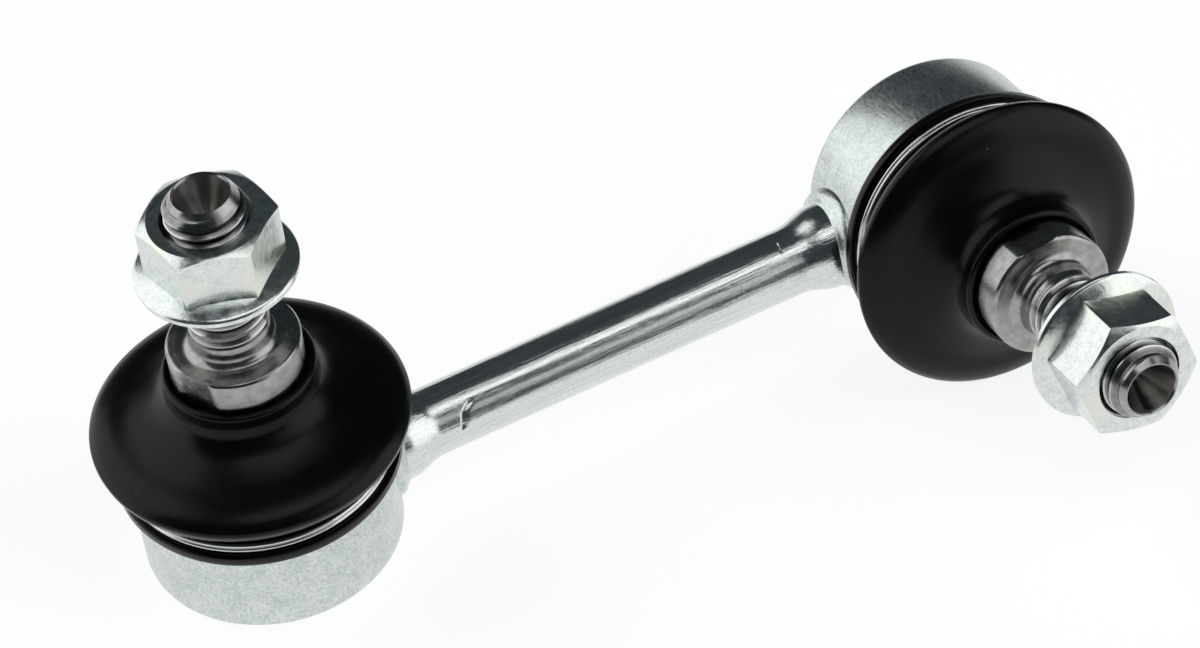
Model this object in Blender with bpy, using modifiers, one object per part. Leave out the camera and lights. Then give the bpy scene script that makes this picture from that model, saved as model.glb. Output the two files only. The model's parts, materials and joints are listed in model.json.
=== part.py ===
"""Short stabilizer link: two ball joints on a solid rod, their studs turned apart about the rod.

Metres, +Z up. Each end is modelled in its own frame, with the origin where the rod's axis
meets the housing's axis and +Z along the stud. The finished link lies as it rests on a bench,
with the middle of its lowest plane at the origin and the rod along X.
"""
from math import asin, atan2, cos, pi, radians, sin, tan

import bmesh
import bpy
import numpy as np
from mathutils import Euler, Matrix, Vector

MM = 0.001

# The link
LINK_LENGTH = 96.5 * MM  # from one stud's axis to the other's
STUD_TWIST = radians(80.0)  # the right stud is turned this far about the rod
ROD_RADIUS = 4.46 * MM
FLARE_RADIUS = 5.5 * MM  # upset foot of the rod at the weld
FLARE_LENGTH = 3.2 * MM

# Clearances
SEAT_GAP = 0.3 * MM  # between pieces that rest on each other
BALL_PLAY = 0.2 * MM
THREAD_PLAY = 0.1 * MM

# Ball stud
BALL_RADIUS = 9.0 * MM
NECK_RADIUS = 5.0 * MM
COLLAR_RADIUS = 8.3 * MM
COLLAR_HEIGHT = 5.8 * MM
COLLAR_FLATS = 15.5 * MM  # across the two wrench flats
COLLAR_BEVEL = 0.45 * MM
BALL_TO_COLLAR = 21.2 * MM  # from the ball's centre to the clamping face
BOOT_SEAT_RADIUS = 6.5 * MM
BOOT_SEAT_HEIGHT = 3.4 * MM
THREAD_RADIUS = 5.0 * MM
THREAD_ROOT_FILLET = 1.3 * MM
SHANK_LENGTH = 24.3 * MM  # from the clamping face to the stud's end
TIP_CHAMFER = 0.8 * MM
RECESS_RADIUS = 3.35 * MM
RECESS_FLOOR_RADIUS = 2.3 * MM
RECESS_DEPTH = 4.2 * MM
RECESS_POINT = 1.3 * MM

# Housing and what it holds
ROD_TO_BASE = 6.6 * MM  # from the rod's axis down to the housing's base
HOUSING_FLOOR = 2.4 * MM
HOUSING_WALL = 5.2 * MM
HOUSING_EDGE = 1.1 * MM
SHELL_WALL = 1.6 * MM  # the plastic bearing shells
SHELL_SPLIT = 0.3 * MM
SWING = radians(24.0)  # furthest lean of the stud, any way
SWING_SPARE = radians(2.0)
WASHER_THICKNESS = 1.2 * MM
WASHER_LEDGE = 1.2 * MM
CRIMP_THICKNESS = 1.0 * MM
CRIMP_WALL = 1.7 * MM
SHOULDER_DROP = 0.6 * MM  # the housing's shoulder lies this far below the ball's centre
LIP_OVERHANG = 0.9 * MM
LIP_HEIGHT = 1.2 * MM

# Dust boot
BEAD_OVERHANG = 1.3 * MM
BEAD_HEIGHT = 0.9 * MM
BOOT_WALL = 1.5 * MM
CLIP_WALL = 1.9 * MM  # rubber under the wire clip
BOOT_BULGE = 3.6 * MM  # how far the boot's widest edge stands out past the housing
RIM_DROP = 0.1 * MM  # that edge lies this far below the top of the housing's crimp
RIM_BAND = 0.5 * MM
SADDLE_RADIUS = 9.7 * MM
NECK_LIP_WIDTH = 1.0 * MM
NECK_LIP_RISE = 1.4 * MM  # how far the lip climbs the collar
RING_SECTION = 1.5 * MM
RING_HEIGHT = 1.8 * MM

# Wire clip round the boot
WIRE_RADIUS = 0.45 * MM
WIRE_SPACING = 0.06 * MM
CLIP_CROSSING = radians(60.0)
CLIP_AZIMUTH = {"left": radians(75.0), "right": radians(-61.0)}

# Weld between the rod's foot and the housing
WELD_THICKNESS = 0.9 * MM
WELD_RADIUS = 6.8 * MM
WELD_HALF_HEIGHT = 5.4 * MM

# Flange nut
NUT_FLATS = 15.0 * MM
NUT_HEIGHT = 9.0 * MM
NUT_CHAMFER_ANGLE = radians(30.0)
FLANGE_RADIUS = 10.0 * MM
FLANGE_RIM = 1.0 * MM
FLANGE_SLOPE = radians(18.0)
NUT_COUNTERSINK = 1.5 * MM
NUT_STANDOFF = {"left": 11.7 * MM, "right": 12.3 * MM}  # clamping face to flange, as delivered

# How each stud and nut happens to be turned
COLLAR_AZIMUTH = {"left": radians(27.9), "right": radians(94.8)}
NUT_AZIMUTH = {"left": radians(-18.2), "right": radians(45.5)}

# Facets round a full turn
BODY_STEPS = 36
STUD_STEPS = 28
INNER_STEPS = 24

# Worked out from the sizes above
SHELL_RADIUS = BALL_RADIUS + BALL_PLAY + SHELL_WALL
BORE_RADIUS = SHELL_RADIUS + SEAT_GAP
HOUSING_RADIUS = BORE_RADIUS + HOUSING_WALL
BORE_FLOOR = -ROD_TO_BASE + HOUSING_FLOOR
BALL_HEIGHT = BORE_FLOOR + SEAT_GAP + SHELL_WALL + BALL_PLAY + BALL_RADIUS
SHOULDER = BALL_HEIGHT - SHOULDER_DROP
WASHER_SEAT_RADIUS = BORE_RADIUS + WASHER_LEDGE
GROOVE_RADIUS = WASHER_SEAT_RADIUS + CRIMP_WALL
BEAD_FOOT = SHOULDER + SEAT_GAP
BEAD_TOP = BEAD_FOOT + BEAD_HEIGHT
CLIP_BAND = 4 * WIRE_RADIUS + WIRE_SPACING + 2 * SEAT_GAP
CLIP_TOP = BEAD_TOP + CLIP_BAND
LIP_UNDERSIDE = CLIP_TOP + SEAT_GAP
BOOT_INNER_RADIUS = GROOVE_RADIUS + SEAT_GAP
CLIP_FLOOR_RADIUS = BOOT_INNER_RADIUS + CLIP_WALL
COLLAR_FACE = BALL_HEIGHT + BALL_TO_COLLAR
COLLAR_UNDERSIDE = COLLAR_FACE - COLLAR_HEIGHT
BOOT_SEAT_FOOT = COLLAR_UNDERSIDE - BOOT_SEAT_HEIGHT
RING_TOP = COLLAR_UNDERSIDE - 2 * SEAT_GAP
RING_FOOT = RING_TOP - RING_HEIGHT
RING_INNER_RADIUS = BOOT_SEAT_RADIUS + SEAT_GAP
RING_OUTER_RADIUS = RING_INNER_RADIUS + RING_SECTION


def collection(name):
    made = bpy.data.collections.new(name)
    bpy.context.scene.collection.children.link(made)
    return made


def material(name, colour, roughness, metallic):
    made = bpy.data.materials.new(name)
    made.use_nodes = True
    shader = made.node_tree.nodes["Principled BSDF"]
    shader.inputs["Base Color"].default_value = (*colour, 1.0)
    shader.inputs["Roughness"].default_value = roughness
    shader.inputs["Metallic"].default_value = metallic
    return made


def place(obj, group, parent, finish=None):
    group.objects.link(obj)
    obj.parent = parent
    if finish is not None:
        obj.data.materials.clear()
        obj.data.materials.append(finish)
    return obj


def shade(mesh):
    mesh.shade_smooth()
    mesh.set_sharp_from_angle(angle=radians(32.0))


def turned(name, profile, steps, closed=False):
    """Turns an outline of (radius, height) points about Z; the outer side runs from top to bottom."""
    line = bpy.data.meshes.new(name + "_outline")
    links = [(i, i + 1) for i in range(len(profile) - 1)]
    if closed:
        links.append((len(profile) - 1, 0))
    line.from_pydata([(radius, 0.0, height) for radius, height in profile], links, [])
    outline = bpy.data.objects.new(name + "_outline", line)
    bpy.context.scene.collection.objects.link(outline)
    screw = outline.modifiers.new("turn", "SCREW")
    screw.axis = "Z"
    screw.angle = 2 * pi
    screw.steps = steps
    screw.render_steps = steps
    screw.use_merge_vertices = True
    screw.merge_threshold = 0.00001
    graph = bpy.context.evaluated_depsgraph_get()
    mesh = bpy.data.meshes.new_from_object(outline.evaluated_get(graph))
    mesh.name = name
    bpy.data.objects.remove(outline)
    bpy.data.meshes.remove(line)
    shade(mesh)
    return bpy.data.objects.new(name, mesh)


def box(name, size, centre):
    mesh = bpy.data.meshes.new(name)
    form = bmesh.new()
    bmesh.ops.create_cube(form, size=1.0, matrix=Matrix.Translation(centre) @ Matrix.Diagonal((*size, 1.0)))
    form.to_mesh(mesh)
    form.free()
    return bpy.data.objects.new(name, mesh)


def prism(name, sides, radius, depth, placing):
    mesh = bpy.data.meshes.new(name)
    form = bmesh.new()
    bmesh.ops.create_cone(form, cap_ends=True, segments=sides, radius1=radius, radius2=radius,
                          depth=depth, matrix=placing)
    form.to_mesh(mesh)
    form.free()
    return bpy.data.objects.new(name, mesh)


def combine(obj, operation, tool):
    """Adds a live Boolean; the tool stays out of the render in the collection of cutters."""
    tool.hide_render = True
    tool.display_type = "WIRE"
    change = obj.modifiers.new(tool.name, "BOOLEAN")
    change.operation = operation
    change.solver = "EXACT"
    change.object = tool


def arc(centre, radius, start, end, count):
    """Points on an arc in the outline's plane, with angles from the outward direction."""
    step = (end - start) / count
    angles = [start + step * i for i in range(count + 1)]
    return [(centre[0] + radius * cos(a), centre[1] + radius * sin(a)) for a in angles]


def smooth_path(stations, spans):
    """A Catmull-Rom curve through the stations."""
    padded = [stations[0], *stations, stations[-1]]
    points = []
    for i in range(1, len(padded) - 2):
        before, here, there, after = (Vector(p) for p in padded[i - 1:i + 3])
        for k in range(spans):
            t = k / spans
            point = here * 2 + (there - before) * t
            point += (before * 2 - here * 5 + there * 4 - after) * t ** 2
            point += (here * 3 - before - there * 3 + after) * t ** 3
            points.append(tuple(point / 2))
    points.append(tuple(stations[-1]))
    return points


def offset_path(points, distance):
    """Moves a path that runs down its outer side inwards, square to itself."""
    moved = []
    for i, point in enumerate(points):
        along = Vector(points[min(i + 1, len(points) - 1)]) - Vector(points[max(i - 1, 0)])
        along.normalize()
        moved.append((point[0] + along.y * distance, point[1] - along.x * distance))
    return moved


def swing_reach(rise):
    """Radius that the leaning neck sweeps at a height above the ball's centre."""
    return rise * tan(SWING) + NECK_RADIUS / cos(SWING) + SEAT_GAP


# The shells wrap the ball as far as the leaning neck allows.
WRAP = asin(NECK_RADIUS / BALL_RADIUS) + SWING + SWING_SPARE
SOCKET_RADIUS = BALL_RADIUS + BALL_PLAY
MOUTH_RISE = SOCKET_RADIUS * cos(WRAP)
WASHER_FOOT = BALL_HEIGHT + MOUTH_RISE + SEAT_GAP
WASHER_TOP = WASHER_FOOT + WASHER_THICKNESS
CRIMP_TOP = WASHER_TOP + SEAT_GAP + CRIMP_THICKNESS

for leftover in list(bpy.data.objects):
    bpy.data.objects.remove(leftover)

link = collection("stabilizer_link")
cutters = collection("cutters")

zinc = material("zinc_plate", (0.62, 0.64, 0.62), 0.32, 1.0)
polished_zinc = material("polished_zinc", (0.66, 0.67, 0.70), 0.16, 1.0)
weld_metal = material("weld_metal", (0.50, 0.52, 0.49), 0.45, 1.0)
bare_steel = material("bare_steel", (0.42, 0.41, 0.40), 0.28, 1.0)
spring_wire = material("spring_wire", (0.70, 0.70, 0.70), 0.20, 1.0)
black_rubber = material("black_rubber", (0.012, 0.012, 0.014), 0.42, 0.0)
plastic = material("bearing_plastic", (0.80, 0.79, 0.74), 0.40, 0.0)

rest = bpy.data.objects.new("rest_pose", None)
link.objects.link(rest)


def housing_outline():
    """Cup with a thick floor, a stepped bore and a rim rolled in over the washer."""
    crimp_inner = BORE_RADIUS - SEAT_GAP
    crimp_outer = GROOVE_RADIUS - CRIMP_WALL / 2
    base_round = arc((HOUSING_RADIUS - HOUSING_EDGE, -ROD_TO_BASE + HOUSING_EDGE), HOUSING_EDGE,
                     0.0, -pi / 2, 3)
    return [
        (0.0, BORE_FLOOR),
        (BORE_RADIUS, BORE_FLOOR),
        (BORE_RADIUS, WASHER_FOOT - SEAT_GAP),
        (WASHER_SEAT_RADIUS, WASHER_FOOT - SEAT_GAP),
        (WASHER_SEAT_RADIUS, WASHER_TOP + SEAT_GAP),
        (crimp_inner, WASHER_TOP + SEAT_GAP),
        (crimp_inner, CRIMP_TOP),
        (crimp_outer, CRIMP_TOP),
        (GROOVE_RADIUS, CRIMP_TOP - CRIMP_WALL / 2),
        (GROOVE_RADIUS, LIP_UNDERSIDE + LIP_HEIGHT),
        (GROOVE_RADIUS + LIP_OVERHANG, LIP_UNDERSIDE + LIP_HEIGHT / 2),
        (GROOVE_RADIUS + LIP_OVERHANG, LIP_UNDERSIDE),
        (GROOVE_RADIUS, LIP_UNDERSIDE),
        (GROOVE_RADIUS, SHOULDER),
        (HOUSING_RADIUS - SEAT_GAP, SHOULDER),
        (HOUSING_RADIUS, SHOULDER - SEAT_GAP),
        *base_round,
        (0.0, -ROD_TO_BASE),
    ]


def shell_outline(lower):
    """Half of the plastic socket: the ball's sphere inside, the housing's bore outside."""
    start, end = (pi / 2, SHELL_SPLIT / 2 / SOCKET_RADIUS) if lower else (0.0, WRAP)
    centre = BALL_HEIGHT
    if lower:
        socket = [(SOCKET_RADIUS * sin(a), centre - SOCKET_RADIUS * cos(a))
                  for a in np.linspace(0.0, pi / 2 - end, 7)]
        floor = BORE_FLOOR + SEAT_GAP
        return [*socket, (SHELL_RADIUS, socket[-1][1]), (SHELL_RADIUS, floor), (0.0, floor)]
    foot = SHELL_SPLIT / 2 / SOCKET_RADIUS
    socket = [(SOCKET_RADIUS * cos(a), centre + SOCKET_RADIUS * sin(a))
              for a in np.linspace(foot, pi / 2 - WRAP, 4)]
    top = centre + MOUTH_RISE
    return [(SHELL_RADIUS, top), (SHELL_RADIUS, socket[0][1]), *socket]


def washer_outline():
    return [
        (WASHER_SEAT_RADIUS - SEAT_GAP, WASHER_TOP),
        (WASHER_SEAT_RADIUS - SEAT_GAP, WASHER_FOOT),
        (swing_reach(WASHER_FOOT - BALL_HEIGHT), WASHER_FOOT),
        (swing_reach(WASHER_TOP - BALL_HEIGHT), WASHER_TOP),
    ]


def stud_outline():
    """Recessed tip, shank, collar, boot seat, neck and ball, from the ball's centre."""
    face = BALL_TO_COLLAR
    underside = face - COLLAR_HEIGHT
    seat_foot = underside - BOOT_SEAT_HEIGHT
    end = face + SHANK_LENGTH
    fillet = THREAD_ROOT_FILLET
    root = arc((THREAD_RADIUS + fillet, face + fillet), fillet, pi, pi * 1.5, 3)
    neck_meets_ball = asin(NECK_RADIUS / BALL_RADIUS)
    ball = [(BALL_RADIUS * sin(a), BALL_RADIUS * cos(a)) for a in np.linspace(neck_meets_ball, pi, 10)]
    ball[-1] = (0.0, -BALL_RADIUS)
    return [
        (0.0, end - RECESS_DEPTH - RECESS_POINT),
        (RECESS_FLOOR_RADIUS, end - RECESS_DEPTH),
        (RECESS_RADIUS, end),
        (THREAD_RADIUS - TIP_CHAMFER, end),
        (THREAD_RADIUS, end - TIP_CHAMFER),
        *root,
        (COLLAR_RADIUS - COLLAR_BEVEL, face),
        (COLLAR_RADIUS, face - COLLAR_BEVEL),
        (COLLAR_RADIUS, underside),
        (BOOT_SEAT_RADIUS, underside),
        (BOOT_SEAT_RADIUS, seat_foot),
        (NECK_RADIUS, seat_foot - (BOOT_SEAT_RADIUS - NECK_RADIUS)),
        *ball,
    ]


def boot_outline():
    """Bead, clip groove, undercut, widest edge, dome, saddle and neck lip, from the ball's centre."""
    rim_radius = HOUSING_RADIUS + BOOT_BULGE
    rim = CRIMP_TOP - RIM_DROP
    lip_inner = COLLAR_RADIUS + SEAT_GAP
    lip_outer = lip_inner + NECK_LIP_WIDTH
    lip_top = COLLAR_UNDERSIDE + NECK_LIP_RISE
    drop = lip_top - rim
    dome = smooth_path([
        (lip_outer, lip_top - NECK_LIP_WIDTH / 2),
        (SADDLE_RADIUS, rim + drop * 0.62),
        (SADDLE_RADIUS + (rim_radius - SADDLE_RADIUS) * 0.16, rim + drop * 0.45),
        (SADDLE_RADIUS + (rim_radius - SADDLE_RADIUS) * 0.45, rim + drop * 0.28),
        (SADDLE_RADIUS + (rim_radius - SADDLE_RADIUS) * 0.88, rim + drop * 0.12),
        (rim_radius, rim),
    ], 2)
    undercut = [
        (rim_radius, rim - RIM_BAND),
        (rim_radius - BOOT_WALL / 2, rim - 2 * RIM_BAND),
        (HOUSING_RADIUS + BEAD_OVERHANG, CLIP_TOP + 2 * RIM_BAND),
        (CLIP_FLOOR_RADIUS, CLIP_TOP),
    ]
    inside = offset_path([*dome, *undercut], BOOT_WALL)
    inside = inside[3:-2:2]
    inside.reverse()
    outline = [
        (lip_inner, lip_top),
        (lip_outer - NECK_LIP_WIDTH / 2, lip_top),
        *dome,
        *undercut,
        (CLIP_FLOOR_RADIUS, BEAD_TOP),
        (HOUSING_RADIUS + BEAD_OVERHANG, BEAD_TOP),
        (HOUSING_RADIUS + BEAD_OVERHANG, BEAD_FOOT + SEAT_GAP),
        (HOUSING_RADIUS + BEAD_OVERHANG - SEAT_GAP, BEAD_FOOT),
        (BOOT_INNER_RADIUS, BEAD_FOOT),
        (BOOT_INNER_RADIUS, LIP_UNDERSIDE - SEAT_GAP),
        (BOOT_INNER_RADIUS + LIP_OVERHANG, LIP_UNDERSIDE - SEAT_GAP),
        (BOOT_INNER_RADIUS + LIP_OVERHANG, LIP_UNDERSIDE + LIP_HEIGHT / 2),
        *inside,
        (RING_OUTER_RADIUS + SEAT_GAP, RING_FOOT - 3 * SEAT_GAP),
        (RING_INNER_RADIUS, RING_FOOT - 3 * SEAT_GAP),
        (RING_INNER_RADIUS, RING_FOOT - SEAT_GAP),
        (RING_OUTER_RADIUS + SEAT_GAP, RING_FOOT - SEAT_GAP),
        (RING_OUTER_RADIUS + SEAT_GAP, RING_TOP + SEAT_GAP),
        (lip_inner, RING_TOP + SEAT_GAP),
    ]
    return [(radius, height - BALL_HEIGHT) for radius, height in outline]


def neck_ring_outline():
    foot = RING_FOOT - BALL_HEIGHT
    top = RING_TOP - BALL_HEIGHT
    return [(RING_OUTER_RADIUS, top), (RING_OUTER_RADIUS, foot), (RING_INNER_RADIUS, foot),
            (RING_INNER_RADIUS, top)]


def wire_clip(name, azimuth):
    """Two flat turns of spring wire, side by side, joined by one slanting crossing."""
    radius = CLIP_FLOOR_RADIUS + SEAT_GAP + WIRE_RADIUS
    low = BEAD_TOP + SEAT_GAP + WIRE_RADIUS
    rise = 2 * WIRE_RADIUS + WIRE_SPACING
    travel = 4 * pi - CLIP_CROSSING
    count = 46
    curve = bpy.data.curves.new(name, "CURVE")
    curve.dimensions = "3D"
    curve.bevel_depth = WIRE_RADIUS
    curve.bevel_resolution = 2
    curve.use_fill_caps = True
    wire = curve.splines.new("POLY")
    wire.points.add(count)
    for i, point in enumerate(wire.points):
        angle = travel * i / count
        crossing = (angle - (2 * pi - CLIP_CROSSING)) / CLIP_CROSSING
        crossing = min(max(crossing, 0.0), 1.0)
        height = low + rise * crossing * crossing * (3 - 2 * crossing)
        turn = azimuth + CLIP_CROSSING / 2 + angle
        point.co = (radius * cos(turn), radius * sin(turn), height, 1.0)
    return bpy.data.objects.new(name, curve)


def weld(name, towards_rod):
    """Saddle of weld metal on the housing's side, cut from a ring by the weld's round outline."""
    inner = HOUSING_RADIUS + SEAT_GAP
    outer = inner + WELD_THICKNESS
    soft = WELD_THICKNESS / 3
    pad = turned(name, [
        (outer, WELD_HALF_HEIGHT - soft),
        (outer, -WELD_HALF_HEIGHT + soft),
        (outer - soft, -WELD_HALF_HEIGHT),
        (inner, -WELD_HALF_HEIGHT),
        (inner, WELD_HALF_HEIGHT),
        (outer - soft, WELD_HALF_HEIGHT),
    ], BODY_STEPS, closed=True)
    lying = Matrix.Translation((towards_rod * outer, 0.0, 0.0)) @ Matrix.Rotation(pi / 2, 4, "Y")
    edge = prism(name + "_outline", INNER_STEPS, WELD_RADIUS, 2 * BORE_RADIUS, lying)
    return pad, edge


def flange_nut(name, azimuth):
    """Hexagon with a chamfered crown, on a sloping flange, with a countersunk bore."""
    corner = NUT_FLATS / 2 / cos(pi / 6)
    hex_foot = FLANGE_RIM / 2
    raised = Matrix.Translation((0.0, 0.0, (NUT_HEIGHT + hex_foot) / 2))
    turn = Matrix.Rotation(azimuth + pi / 6, 4, "Z")
    hexagon = prism(name, 6, corner, NUT_HEIGHT - hex_foot, raised @ turn)
    crown_radius = NUT_FLATS / 2 * 0.97
    drop = (2 * corner - crown_radius) * tan(NUT_CHAMFER_ANGLE)
    crown = turned(name + "_crown", [
        (0.0, NUT_HEIGHT),
        (crown_radius, NUT_HEIGHT),
        (2 * corner, NUT_HEIGHT - drop),
        (2 * corner, -FLANGE_RIM),
        (0.0, -FLANGE_RIM),
    ], STUD_STEPS)
    top_radius = NUT_FLATS / 2 - FLANGE_RIM
    flange = turned(name + "_flange", [
        (0.0, FLANGE_RIM + (FLANGE_RADIUS - top_radius) * tan(FLANGE_SLOPE)),
        (top_radius, FLANGE_RIM + (FLANGE_RADIUS - top_radius) * tan(FLANGE_SLOPE)),
        (FLANGE_RADIUS - FLANGE_RIM / 5, FLANGE_RIM + FLANGE_RIM / 5 * tan(FLANGE_SLOPE)),
        (FLANGE_RADIUS, FLANGE_RIM * 0.7),
        (FLANGE_RADIUS, FLANGE_RIM * 0.2),
        (FLANGE_RADIUS - FLANGE_RIM / 5, 0.0),
        (0.0, 0.0),
    ], BODY_STEPS)
    bore_radius = THREAD_RADIUS + THREAD_PLAY
    sunk = bore_radius + NUT_COUNTERSINK
    crown_sunk = bore_radius + NUT_COUNTERSINK / 3
    past = FLANGE_RIM / 2
    bore = turned(name + "_bore", [
        (0.0, NUT_HEIGHT + past),
        (crown_sunk + past, NUT_HEIGHT + past),
        (bore_radius, NUT_HEIGHT - (crown_sunk - bore_radius)),
        (bore_radius, NUT_COUNTERSINK),
        (sunk + past, -past),
        (0.0, -past),
    ], STUD_STEPS)
    return hexagon, crown, flange, bore


def build_end(side, towards_rod):
    """All the pieces of one ball joint, under an empty on the rod's axis and one on the ball's centre."""
    end = bpy.data.objects.new(side + "_end", None)
    link.objects.link(end)
    end.parent = rest
    end.location = (-towards_rod * LINK_LENGTH / 2, 0.0, 0.0)
    end.rotation_euler = (STUD_TWIST if side == "right" else 0.0, 0.0, 0.0)
    ball = bpy.data.objects.new(side + "_ball_centre", None)
    link.objects.link(ball)
    ball.parent = end
    ball.location = (0.0, 0.0, BALL_HEIGHT)

    place(turned(side + "_housing", housing_outline(), BODY_STEPS), link, end, zinc)
    place(turned(side + "_lower_shell", shell_outline(True), INNER_STEPS), link, end, plastic)
    upper = turned(side + "_upper_shell", shell_outline(False), INNER_STEPS, closed=True)
    place(upper, link, end, plastic)
    washer = turned(side + "_retaining_washer", washer_outline(), INNER_STEPS, closed=True)
    place(washer, link, end, bare_steel)
    place(wire_clip(side + "_boot_clip", CLIP_AZIMUTH[side]), link, end, spring_wire)
    pad, edge = weld(side + "_weld", towards_rod)
    place(pad, link, end, weld_metal)
    place(edge, cutters, end)
    combine(pad, "INTERSECT", edge)

    boot = turned(side + "_dust_boot", boot_outline(), BODY_STEPS, closed=True)
    place(boot, link, ball, black_rubber)
    ring = turned(side + "_boot_neck_ring", neck_ring_outline(), INNER_STEPS, closed=True)
    place(ring, link, ball, bare_steel)
    stud = place(turned(side + "_ball_stud", stud_outline(), STUD_STEPS), link, ball, bare_steel)
    for number in (0, 1):
        width = 2 * COLLAR_RADIUS
        flat = box(f"{side}_flat_{number}", (COLLAR_RADIUS, width, COLLAR_HEIGHT + THREAD_ROOT_FILLET),
                   ((COLLAR_FLATS + COLLAR_RADIUS) / 2, 0.0,
                    BALL_TO_COLLAR - (COLLAR_HEIGHT - THREAD_ROOT_FILLET) / 2 - SEAT_GAP))
        flat.rotation_euler = (0.0, 0.0, COLLAR_AZIMUTH[side] + number * pi)
        place(flat, cutters, ball)
        combine(stud, "DIFFERENCE", flat)
    hexagon, crown, flange, bore = flange_nut(side + "_flange_nut", NUT_AZIMUTH[side])
    for piece, group in ((hexagon, link), (crown, cutters), (flange, cutters), (bore, cutters)):
        piece.location = (0.0, 0.0, BALL_TO_COLLAR + NUT_STANDOFF[side])
        place(piece, group, ball)
    hexagon.data.materials.append(zinc)
    combine(hexagon, "INTERSECT", crown)
    combine(hexagon, "UNION", flange)
    combine(hexagon, "DIFFERENCE", bore)
    return end


def build_rod(ends):
    """Solid bar with a flared foot at each end, cut to fit round the welds."""
    reach = LINK_LENGTH / 2 - BORE_RADIUS
    weld_face = HOUSING_RADIUS + 2 * SEAT_GAP + WELD_THICKNESS
    foot = LINK_LENGTH / 2 - weld_face
    flare = FLARE_RADIUS - ROD_RADIUS
    half = [(ROD_RADIUS + flare * (k / 4) ** 2, foot + FLARE_LENGTH * (k / 4 - 1)) for k in range(5)]
    upper = [(0.0, reach), (FLARE_RADIUS, reach), *reversed(half)]
    lower = [(radius, -height) for radius, height in reversed(upper)]
    rod = place(turned("link_rod", [*upper, *lower], INNER_STEPS), link, rest, polished_zinc)
    rod.rotation_euler = (0.0, pi / 2, 0.0)
    for end in ends:
        room = prism(end.name + "_weld_room", BODY_STEPS, weld_face, 4 * HOUSING_RADIUS, Matrix.Identity(4))
        place(room, cutters, end)
        combine(rod, "DIFFERENCE", room)


def world_points(names):
    graph = bpy.context.evaluated_depsgraph_get()
    found = []
    for obj in link.objects:
        if obj.type == "EMPTY" or not obj.name.startswith(names):
            continue
        seen = obj.evaluated_get(graph)
        mesh = seen.to_mesh()
        points = np.empty(len(mesh.vertices) * 3)
        mesh.vertices.foreach_get("co", points)
        place_in_world = np.array(seen.matrix_world)
        found.append(points.reshape(-1, 3) @ place_in_world[:3, :3].T + place_in_world[:3, 3])
        seen.to_mesh_clear()
    return np.concatenate(found)


def lay_down():
    """Rolls the link onto its right boot and base, and tips it until the left base touches too."""
    slope = atan2(BOOT_BULGE, CRIMP_TOP - RIM_DROP + ROD_TO_BASE)
    rest.rotation_euler = (pi / 2 - slope - STUD_TWIST, 0.0, 0.0)
    bpy.context.view_layer.update()
    left = world_points("left_")
    right = world_points("right_")
    low, high = 0.0, pi / 6
    for _ in range(40):
        tip = (low + high) / 2
        left_drop = (left[:, 0] * sin(tip) + left[:, 2] * cos(tip)).min()
        right_drop = (right[:, 0] * sin(tip) + right[:, 2] * cos(tip)).min()
        low, high = (tip, high) if right_drop < left_drop else (low, tip)
    roll = rest.rotation_euler.x
    turned_over = Matrix.Rotation(-tip, 3, "Y") @ Euler((roll, 0.0, 0.0)).to_matrix()
    rest.rotation_euler = turned_over.to_euler()
    bpy.context.view_layer.update()
    points = world_points(("left_", "right_", "link_"))
    low_corner = points.min(axis=0)
    high_corner = points.max(axis=0)
    middle = (low_corner + high_corner) / 2
    rest.location = (-middle[0], -middle[1], -low_corner[2])
    bpy.context.view_layer.update()


build_rod([build_end("left", 1.0), build_end("right", -1.0)])
lay_down()
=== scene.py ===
import json
from math import asin, atan2, cos, degrees, exp, hypot, pi, radians, sin, sqrt, tan

import bmesh
import bpy
from mathutils import Matrix, Vector


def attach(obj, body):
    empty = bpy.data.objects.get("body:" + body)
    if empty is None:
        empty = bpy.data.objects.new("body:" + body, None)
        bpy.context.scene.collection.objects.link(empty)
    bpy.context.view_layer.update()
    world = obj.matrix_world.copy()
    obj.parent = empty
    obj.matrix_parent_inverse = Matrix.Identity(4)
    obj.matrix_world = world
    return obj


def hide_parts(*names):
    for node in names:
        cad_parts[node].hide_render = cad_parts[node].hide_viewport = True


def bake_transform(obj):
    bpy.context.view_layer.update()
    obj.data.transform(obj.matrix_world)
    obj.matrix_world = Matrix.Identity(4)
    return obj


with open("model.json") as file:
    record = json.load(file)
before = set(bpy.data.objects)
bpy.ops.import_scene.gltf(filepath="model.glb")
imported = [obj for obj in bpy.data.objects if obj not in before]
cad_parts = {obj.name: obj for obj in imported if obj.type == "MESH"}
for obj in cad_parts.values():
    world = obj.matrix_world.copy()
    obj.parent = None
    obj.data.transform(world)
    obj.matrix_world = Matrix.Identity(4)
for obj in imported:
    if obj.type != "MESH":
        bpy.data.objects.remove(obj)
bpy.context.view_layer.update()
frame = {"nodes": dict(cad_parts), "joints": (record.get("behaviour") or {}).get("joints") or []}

# The rod is a drawn steel bar, upset to a wider foot at each end and zinc plated bright.
# It is the link's backbone: both ball joints are welded to it, so their places are worked out here.
# Lengths are in millimetres, and MM turns them into metres.
MM = 0.001
SIDES = ("left", "right")
BALL_ABOVE_ROD = 6.9
CUP_RADIUS = 16.3
joints = {joint["name"]: joint for joint in frame["joints"]}


def end_place(side):
    """One end's own axes: the origin on the rod's axis, +X along the rod and +Z along the stud."""
    spin = joints[side + "_stud_spin"]
    stud = Vector(spin["axis"]).normalized()
    across = stud.cross(Vector(joints[side + "_swing_about_rod"]["axis"])).normalized()
    turn = Matrix((across.cross(stud), across, stud)).transposed().to_4x4()
    return Matrix.Translation(Vector(spin["pos_m"]) - stud * (BALL_ABOVE_ROD * MM)) @ turn


ends = {side: end_place(side) for side in SIDES}
rod_middle = (ends["left"].translation + ends["right"].translation) / 2
half_span = (ends["right"].translation - ends["left"].translation).length / 2 / MM
rod_place = Matrix.Translation(rod_middle) @ ends["left"].to_3x3().to_4x4()


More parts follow.
